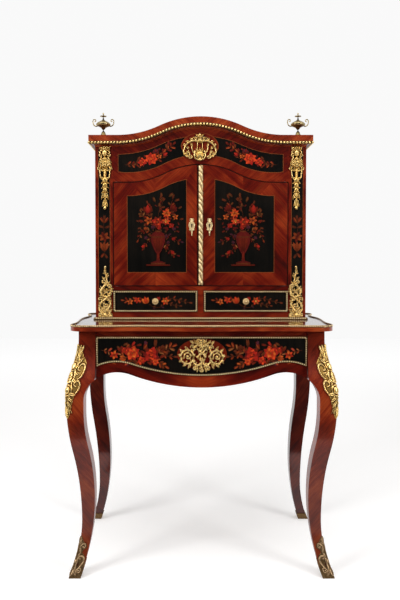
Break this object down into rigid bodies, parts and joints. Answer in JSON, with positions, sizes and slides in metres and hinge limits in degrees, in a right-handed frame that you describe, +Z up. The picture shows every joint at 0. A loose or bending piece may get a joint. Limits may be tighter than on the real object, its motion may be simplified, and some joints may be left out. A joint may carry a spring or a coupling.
{
  "type": "bonheur du jour",
  "caption": "Lady's writing table on cabriole legs with a shaped frieze drawer, carrying a small cabinet with doors, drawers, an arched cornice, gilt mounts and urns.",
  "frame": {"origin": "on the floor, in the middle of the plan", "axes": "+X to the desk's left as it is read from the front, that is to the viewer's right; -Y out of the front; +Z up"},
  "size_m": [0.834, 0.5141, 1.4695],
  "materials": {
    "rosewood": "French-polished veneer",
    "ebonised_panel": "polished, with floral marquetry",
    "oak": "plain",
    "gilt_bronze": "burnished and matt gilding",
    "steel": "worn"
  },
  "bodies": {
    "desk": {"back_apron": "rosewood", "back_left_leg": "rosewood", "back_right_leg": "rosewood", "back_sabots": "gilt_bronze", "cabinet_back": "oak", "cabinet_floor": "oak", "cabinet_left_side": "rosewood", "cabinet_right_side": "rosewood", "cabinet_shelf": "oak", "cabinet_top_board": "oak", "cornice_bead": "gilt_bronze", "cornice_front": "rosewood", "cornice_returns": "rosewood", "door_pivot_plates": "steel", "drawer_divider": "rosewood", "drawer_dust_board": "rosewood", "drawer_kickers": "oak", "drawer_runners": "oak", "foot_moulding": "gilt_bronze", "frieze_board": "rosewood", "frieze_mount": "gilt_bronze", "front_left_leg": "rosewood", "front_rail": "rosewood", "front_right_leg": "rosewood", "front_sabots": "gilt_bronze", "left_apron": "rosewood", "left_knee_mount": "gilt_bronze", "left_pilaster": "rosewood", "left_urn": "gilt_bronze", "lower_chutes": "gilt_bronze", "right_apron": "rosewood", "right_knee_mount": "gilt_bronze", "right_pilaster": "rosewood", "right_urn": "gilt_bronze", "table_rim": "gilt_bronze", "table_top": "rosewood", "upper_chutes": "gilt_bronze"},
    "left_door": {"left_door": "rosewood", "left_door_panel": "ebonised_panel", "left_escutcheon": "gilt_bronze", "left_door_hinge_leaves": "steel"},
    "right_door": {"right_door": "rosewood", "right_door_panel": "ebonised_panel", "right_escutcheon": "gilt_bronze", "right_door_hinge_leaves": "steel", "door_astragal": "gilt_bronze", "door_lock_case": "steel"},
    "lock_bolt": {"lock_bolt": "steel"},
    "left_small_drawer": {"left_drawer_front": "rosewood", "left_drawer_frame": "gilt_bronze", "left_drawer_knob": "gilt_bronze", "left_drawer_box": "oak"},
    "right_small_drawer": {"right_drawer_front": "rosewood", "right_drawer_frame": "gilt_bronze", "right_drawer_knob": "gilt_bronze", "right_drawer_box": "oak"},
    "apron_drawer": {"apron_drawer_front": "rosewood", "apron_drawer_frame": "gilt_bronze", "apron_drawer_mount": "gilt_bronze", "apron_drawer_box": "oak"}
  },
  "joints": [
    {"name": "left_door_hinge", "type": "hinge", "parent": "desk", "child": "left_door", "pos_m": [-0.284, 0.006, 0.8835], "axis": [0, 0, -1], "range_deg": [0, 110]},
    {"name": "right_door_hinge", "type": "hinge", "parent": "desk", "child": "right_door", "pos_m": [0.284, 0.006, 0.8835], "axis": [0, 0, 1], "range_deg": [0, 110]},
    {"name": "lock_bolt_slide", "type": "slide", "parent": "right_door", "child": "lock_bolt", "axis": [-1, 0, 0], "range_m": [0, 0.006]},
    {"name": "left_drawer_slide", "type": "slide", "parent": "desk", "child": "left_small_drawer", "axis": [0, -1, 0], "range_m": [0, 0.17]},
    {"name": "right_drawer_slide", "type": "slide", "parent": "desk", "child": "right_small_drawer", "axis": [0, -1, 0], "range_m": [0, 0.17]},
    {"name": "apron_drawer_slide", "type": "slide", "parent": "desk", "child": "apron_drawer", "axis": [0, -1, 0], "range_m": [0, 0.3]}
  ]
}
